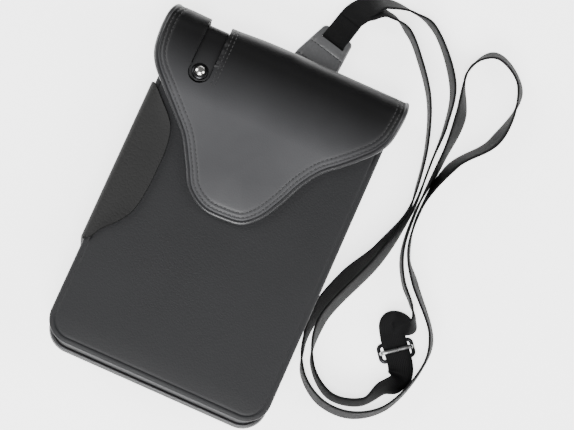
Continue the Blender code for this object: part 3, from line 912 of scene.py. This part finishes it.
def flat_flap(gaps, inner=9):
    """The flat sheet, from the ring nearest the outline to the seam in the middle."""
    rings = [moved_in(outline, gap) for gap in gaps]
    last = rings[-1]
    count = len(outline)
    seam = []
    for k in range(count):
        share = abs(k - tip) / (tip if k < tip else count - 1 - tip)
        seam.append(Vector((SEAM_X, SEAM_LOW + (SHEET_END - SEAM_LOW) * share)))
    for step in range(1, inner + 1):
        share = step / inner
        rings.append([a.lerp(b, share) for a, b in zip(last, seam)])
    for ring in rings:
        ring[0].y = ring[-1].y = SHEET_END
    bm = grid(range(count), range(len(rings)), lambda k, r: Vector((*rings[r][k], 0)))
    bmesh.ops.remove_doubles(bm, verts=bm.verts[:], dist=2e-5)
    seam_foot = Vector((SEAM_X, SEAM_LOW, 0))
    crowded = [f for f in bm.faces if (f.calc_center_median() - seam_foot).length < 3.5 * MM]
    bmesh.ops.dissolve_faces(bm, faces=crowded, use_verts=True)
    return bm


# %% [markdown]
# The slot for the snap strap is cut while the sheet is still flat: planes score its two sides and
# its round end, and the faces inside are deleted. A Boolean on the bent sheet would leave a
# ragged edge that a bevel can't follow.

# %% Slot
SLOT_X, SLOT_R, SLOT_Y = -44.2 * MM, 6.3 * MM, 65.6 * MM
MARGIN = 2.5 * MM


def cut_slot(bm, radius):
    """Scores the slot's outline into the sheet and takes out the faces inside."""
    planes = [(Vector((SLOT_X + s * radius, 0, 0)), Vector((s, 0, 0))) for s in (-1, 1)]
    for k in range(1, 16):
        t = math.pi * (1 + k / 16)
        out = Vector((math.cos(t), math.sin(t), 0))
        planes.append((Vector((SLOT_X, SLOT_Y, 0)) + out * radius, out))
    for point, normal in planes:
        near = []
        for face in bm.faces:
            middle = face.calc_center_median()
            if abs(middle.x - SLOT_X) < radius + MARGIN and middle.y > SLOT_Y - radius - MARGIN:
                if normal.y == 0 or middle.y < SLOT_Y + MARGIN:
                    near.append(face)
        geom = list({v for f in near for v in f.verts} | {e for f in near for e in f.edges}) + near
        bmesh.ops.bisect_plane(bm, geom=geom, dist=1e-7, plane_co=point, plane_no=normal)
    inside = []
    for face in bm.faces:
        middle = face.calc_center_median()
        off = Vector((middle.x - SLOT_X, min(middle.y - SLOT_Y, 0)))
        if off.length < radius and middle.y > SLOT_Y - radius:
            inside.append(face)
    bmesh.ops.delete(bm, geom=inside, context="FACES")
    close = [v for v in bm.verts if abs(v.co.x - SLOT_X) < radius + 4 * MM and not v.is_boundary]
    bmesh.ops.remove_doubles(bm, verts=close, dist=0.35 * MM)
    return bm


def nearest_gap(x, t):
    return min((point - Vector((x, t))).length for point in outline)


# %% [markdown]
# The cover and its lining are the same sheet at two heights.

# %% Flap leather
RINGS = [
    2.1, 2.3, 2.6, 3.0, 3.4, 3.65, 3.9, 4.15, 4.5, 5.1, 5.7, 6.05, 6.3, 6.55, 7.0, 7.8,
    9, 11, 13.5,
]  # fmt: skip


def shaped_flap(gaps, below, slot_radius, grooved):
    """The sheet cut, shaped and bent. Gaps are the rings' distances in millimetres."""
    bm = cut_slot(flat_flap([g * MM for g in gaps]), slot_radius)
    start = gaps[0] * MM
    for vert in bm.verts:
        x, t = vert.co.x, vert.co.y
        gap = nearest_gap(x, t)
        height = puff(t, gap) - below
        if grooved:
            height -= rim_roll(gap, start)
        vert.co = bent(x, t, height)
    return faced(bm, (0, 0.5, 1))


def bend_with_flap(obj):
    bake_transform(obj)


bm = shaped_flap(RINGS, 0.0, SLOT_R, True)
solids = ["flap_leather", "spine_leather"]
flap = piece("flap_cover", bm, FLAP_HIDE, None, solids, 1.7 * MM, 0.25 * MM)
bend_with_flap(flap)
bm = shaped_flap([2.9, 4, 6, 9, 13], 1.9 * MM, SLOT_R + 0.3 * MM, False)
solids = ["flap_lining", "spine_lining"]
inside = piece("flap_inside", bm, LINING, None, solids, 0.5 * MM)
bend_with_flap(inside)


# %% [markdown]
# A folded strip of hide binds the flap's edge. It shows as a light round rim. Two rows of
# stitches follow it, and two more hold the right-hand side of the slot. All are laid out on the
# flat sheet and bent with the same formula, so they stay on the leather everywhere.


# %% Flap edging and stitches
def on_flap(path, height, gap=None):
    """A path of the flat sheet laid on the bent flap, with the way up at each point."""
    places, ups = [], []
    for p in path:
        g = nearest_gap(p.x, p.y) if gap is None else gap
        h = puff(p.y, g) + height
        here = bent(p.x, p.y, h)
        above = bent(p.x, p.y, h + MM)
        places.append(here)
        ups.append((above - here).normalized())
    return places, ups


path, ups = on_flap(moved_in(outline, 1.25 * MM), -0.85 * MM, 0.0)
oval = [(a, b * 0.95) for a, b in round_profile(1.3 * MM, 12)]
bm = swept(ring_sections(path, ups, oval))
edging = piece("flap_edging", bm, EDGE_HIDE, None, ["flap_binding"])
bend_with_flap(edging)


def sewn_row(name, path, height):
    row = stitches(name, *on_flap(path, height), None)
    bend_with_flap(row)


sewn_row("outer_stitches", moved_in(outline, OUTER_ROW), -0.28 * MM)
sewn_row("inner_stitches", moved_in(outline, INNER_ROW), -0.22 * MM)
beside = [Vector((SLOT_X + SLOT_R + 2.2 * MM, t * MM)) for t in span(62, 100, 60)]
beyond = [p + Vector((2.1 * MM, 0)) for p in beside]
sewn_row("slot_stitches", beside, 0.05 * MM)
sewn_row("slot_stitches_outer", beyond, 0.05 * MM)

# %% [markdown]
# ## Hinge strip
# The foot of the spine is sewn to the back panel through a narrow strip that bends when the flap
# is thrown open. It is a thin sheet, turned up from the back panel towards the spine.

# %% Hinge strip
turned_up = [(93, 0.35), (95.5, 0.5), (97.6, 1.6), (98.7, 3.6), (98.9, 6), (98.9, 9), (98.9, 12)]
bm = grid(span(-HALF, HALF, 24), smooth(in_mm(turned_up), 5), lambda x, p: Vector((x, p.x, p.y)))
bm = faced(bm, (0, 1, -0.5))
strip = piece("hinge_strip", bm, FLAP_HIDE, None, (), 1.0 * MM, 0.2 * MM)
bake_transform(strip)

# %% [markdown]
# ## Snap strap
# A narrow strap comes from inside the back, bends over the mouth and snaps down through the slot.
# Its side view is a line of a few points and an arc, and a grid gives it width and a round end.
# The real leather bends low down.

# %% Snap strap
rising = [(95.4, 6.4), (95.4, 10.6), (94.9, 16), (94.1, 24), (93.8, 31)]
over_mouth = []
for t in span(0, math.pi / 2, 8):
    over_mouth.append((89.0 + 4.8 * math.cos(t), 35.6 + 4.8 * math.sin(t)))
to_the_snap = [(84, 40.9), (78, 41.4), (72, 41.7), (66, 41.8), (61.0, 41.8)]
strap_line = [Vector(p) for p in rising + over_mouth + to_the_snap]
strap_line = [p * MM for p in evenly(strap_line, 1.3)]
STRIP_HALF = 5.85 * MM


def strip_place(u, k):
    """Across the strap (u from -1 to 1) at station k, narrowing to a round end."""
    point = strap_line[k]
    left = sum((b - a).length for a, b in zip(strap_line[k:], strap_line[k + 1 :]))
    half = STRIP_HALF
    if left < STRIP_HALF:
        half += 0.3 * MM - rounded_off(left, STRIP_HALF)
    return Vector((SLOT_X + u * half, point.x, point.y))


bm = faced(grid(span(-1, 1, 8), range(len(strap_line)), strip_place), (0, 0.5, 1))
solids = ["retainer_strap"]
snap_strap = piece("snap_strap", bm, FLAP_HIDE, None, solids, 1.15 * MM, 0.35 * MM)
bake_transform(snap_strap)


# %% [markdown]
# The snap's cap is pressed from a round disc, so it is turned: half of its profile is spun about
# an upright axis. A dark collar under the bright dome stands for the ring it is pressed into.


# %% Snap cap
def turned(name, profile, centre, finish, nodes):
    """Spins a profile of (radius, height) round an upright axis."""
    bm = bmesh.new()
    verts = [bm.verts.new((centre.x + r, centre.y, z)) for r, z in profile]
    edges = [bm.edges.new(pair) for pair in zip(verts, verts[1:])]
    round_once = {"cent": centre, "axis": UP, "angle": 2 * math.pi, "steps": 40}
    bmesh.ops.spin(bm, geom=verts + edges, use_merge=True, **round_once)
    bmesh.ops.remove_doubles(bm, verts=bm.verts[:], dist=1e-6)
    bmesh.ops.recalc_face_normals(bm, faces=bm.faces[:])
    return piece(name, bm, finish, "retainer", nodes)


low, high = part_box("snap_cap")
centre = Vector(((low.x + high.x) / 2, (low.y + high.y) / 2, 0))
collar = [(0, 42.75), (2.6, 42.75), (3.6, 42.7), (4.3, 42.45), (4.6, 42.15), (4.3, 41.9), (0, 41.9)]
dome = [(0, 44.6), (0.7, 44.57), (1.4, 44.45), (2.0, 44.2), (2.6, 43.8), (2.95, 43.3)]
dome += [(3.0, 42.9), (2.85, 42.6), (0, 42.6)]
turned("snap_collar", in_mm(collar), centre, DARK_PLATE, ())
turned("snap_dome", in_mm(dome), centre, NICKEL, ["snap_cap"])

# %% [markdown]
# ## Side leaf
# A leaf of matt hide is wrapped round the left edge: one part lies against the side, the other
# lies loose on the front, and its curved edge stands off a little. One sheet serves both parts.

# %% Side leaf
LEAF_X = -65.8 * MM
LEAF_CURVE = [
    (-64.4, -42), (-61.8, -40.8), (-57.8, -34), (-51.8, -27.5), (-46.2, -18.5), (-44, -6), (-43.4, 8),
    (-43.8, 21), (-46, 31), (-50, 37), (-55.5, 42.5), (-61, 48), (-64.4, 51),
]  # fmt: skip
leaf_edge = evenly(smooth(in_mm(LEAF_CURVE), 8), 1.5 * MM)
LEAF_R = 3.2 * MM
LEAF_TOP = FRONT + 2.4 * MM


def leaf_place(share, k):
    """From the foot of the side (share 0) round the corner to the loose edge (share 1)."""
    edge = leaf_edge[k]
    if share <= 0.4:
        low, high = 3 * MM, LEAF_TOP - LEAF_R
        return Vector((LEAF_X, edge.y, low + (high - low) * share / 0.4))
    if share <= 0.6:
        t = math.pi / 2 * (share - 0.4) / 0.2
        room = min(LEAF_R, max(edge.x - LEAF_X, 0.2 * MM))
        height = LEAF_TOP - LEAF_R + LEAF_R * math.sin(t)
        return Vector((LEAF_X + room * (1 - math.cos(t)), edge.y, height))
    start = LEAF_X + min(LEAF_R, max(edge.x - LEAF_X, 0.2 * MM))
    part = (share - 0.6) / 0.4
    loose = min(1, (edge.x - start) / (14 * MM))
    lift = 1.3 * MM * part**2 * loose
    sag = 0.5 * MM * math.sin(math.pi * part) * loose
    return Vector((start + (edge.x - start) * part, edge.y, LEAF_TOP + lift - sag))


shares = [*span(0, 0.4, 8), *span(0.4, 0.6, 8)[1:], *span(0.6, 1, 16)[1:]]
bm = faced(grid(shares, range(len(leaf_edge)), leaf_place), (-1, 0, 1))
solids = ["wing_leaf", "wing_side"]
leaf = piece("side_leaf", bm, LEAF_HIDE, None, solids, 1.4 * MM, 0.45 * MM)
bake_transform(leaf)

# %% [markdown]
# ## Strap tab
# The tab is a doubled piece of satin hide with a slot for the webbing and two sewn rows across
# it. It is a grid again, in its own directions: u from side to side and s along it.

# %% Strap tab
TAB = Vector((6, 85, 2.3)) * MM
TAB_LEAN = math.radians(13.6)
tab_way = Vector((math.sin(TAB_LEAN), math.cos(TAB_LEAN), 0))
tab_side = Vector((tab_way.y, -tab_way.x, 0))
TAB_LENGTH, TAB_SLOT = 43.4 * MM, 37.4 * MM
SEWN_ROWS = (21 * MM, 31 * MM)


def tab_half(s):
    if s < 22 * MM:
        return (14 - 0.8 * s / (22 * MM)) * MM
    half = (13.2 - 3.2 * min((s - 22 * MM) / (18.4 * MM), 1)) * MM
    return half - rounded_off(TAB_LENGTH - s, 3 * MM)


def on_tab(a, s, z):
    return TAB + tab_side * a + tab_way * s + UP * z


def tab_place(u, s):
    half = tab_half(s)
    gap = (1 - abs(u)) * half
    roll = 0.7 * MM * math.exp(-gap / (0.7 * MM))
    groove = 0.25 * MM * bell(gap, 2 * MM, 0.5 * MM)
    crown = 0.5 * MM * math.cos(math.pi / 2 * u)
    rows = sum(0.3 * MM * bell(s, row, 0.6 * MM) for row in SEWN_ROWS)
    return on_tab(u * half, s, 2.0 * MM - roll - groove + crown - rows)


# %% [markdown]
# The grid's lines lie where the shape changes: at the sewn rows, at the slot's ends and sides,
# and close together at the round end.

# %% Tab sheet
tab_rows = [
    *span(0, 20, 8), 20.6, 21, 21.4, 22, 24, 26, 28, 30, 30.6, 31, 31.4, 32, 34, 36.3, 38.2,
    40, 40.9, 41.7, 42.3, 42.8, 43.1, 43.3, 43.4,
]  # fmt: skip
tab_rows = [s * MM for s in tab_rows]
half_slot = 7.35 * MM / tab_half(TAB_SLOT)
right_columns = [0.2, 0.45, half_slot, 0.78, 0.83, 0.88, 0.93, 0.97, 1]
tab_columns = [*[-u for u in reversed(right_columns)], 0, *right_columns]
bm = faced(grid(tab_columns, tab_rows, tab_place), (0, 0, 1))
hole = []
for face in bm.faces:
    off = face.calc_center_median() - TAB
    if abs(off.dot(tab_side)) < 7.3 * MM and 36.3 * MM < off.dot(tab_way) < 38.2 * MM:
        hole.append(face)
bmesh.ops.delete(bm, geom=hole, context="FACES")
piece("sewn_tab", bm, TAB_HIDE, "case", ["strap_tab"], 1.7 * MM, 0.3 * MM)
for name, s in zip(("tab_row_low", "tab_row_high"), SEWN_ROWS):
    path = [tab_place(u, s) + UP * 0.1 * MM for u in span(-0.85, 0.85, 12)]
    stitches(name, path, [UP] * 12, "case", 2.2 * MM)

# %% [markdown]
# The webbing goes through the slot, folds round the tab's end and is sewn to itself. The fold is
# a second length of the same band, bent in side view, because the strap's own route starts past
# it. Its line is (distance along the tab, height).

# %% Webbing fold
fold_line = [(52.6, 2.3), (47, 1.7), (42, 1.25), (38.2, 1.15), (37.1, 1.9), (36.95, 3.4)]
fold_line += [(37.2, 5.0), (38.4, 6.1), (41, 6.3), (44.5, 5.9), (48, 5.2), (53.0, 4.7)]
fold_line = [Vector((p.x, 0, p.y)) for p in smooth(in_mm(fold_line), 6)]
sections = []
for point, way in zip(fold_line, directions(fold_line)):
    out = Vector((-way.z, 0, way.x))
    ring = []
    for a, b in band:
        lift = point + out * b * 0.75
        ring.append(on_tab(a, lift.x, lift.z - TAB.z))
    sections.append(ring)
bm = woven_band(sections, [j * 0.5 for j in range(len(sections))])
piece("webbing_fold", bm, WEBBING, "case", ["strap_end_loop"])


# %% [markdown]
# ## Closure
# A pad of hooks under the flap meets a pad of loops on the front. Each pad is a small sheet that
# takes its height from the leather it is sewn to. Thousands of real hooks would cost far too many
# faces, so a rough finish stands for them.

# %% Closure pads
def pad(name, body, node, height, up):
    def place(u, v):
        x, y = 13.5 * MM * u, 17 * MM + 6.5 * MM * v
        edge = max(abs(u), abs(v)) ** 14
        return Vector((x, y, height(x, y) - up * 0.3 * MM * edge))

    bm = faced(grid(span(-1, 1, 16), span(-1, 1, 10), place), UP * up)
    piece(name, bm, TAPE, body, [node], 0.5 * MM)


def over_front(x, y):
    return front_place(x, y).z + 0.6 * MM


def under_flap(x, y):
    return bent(x, y, puff(y, nearest_gap(x, y))).z - 3.0 * MM


pad("loop_pad", "case", "closure_loop_patch", over_front, 1)
pad("hook_pad", "flap", "closure_hook_patch", under_flap, -1)
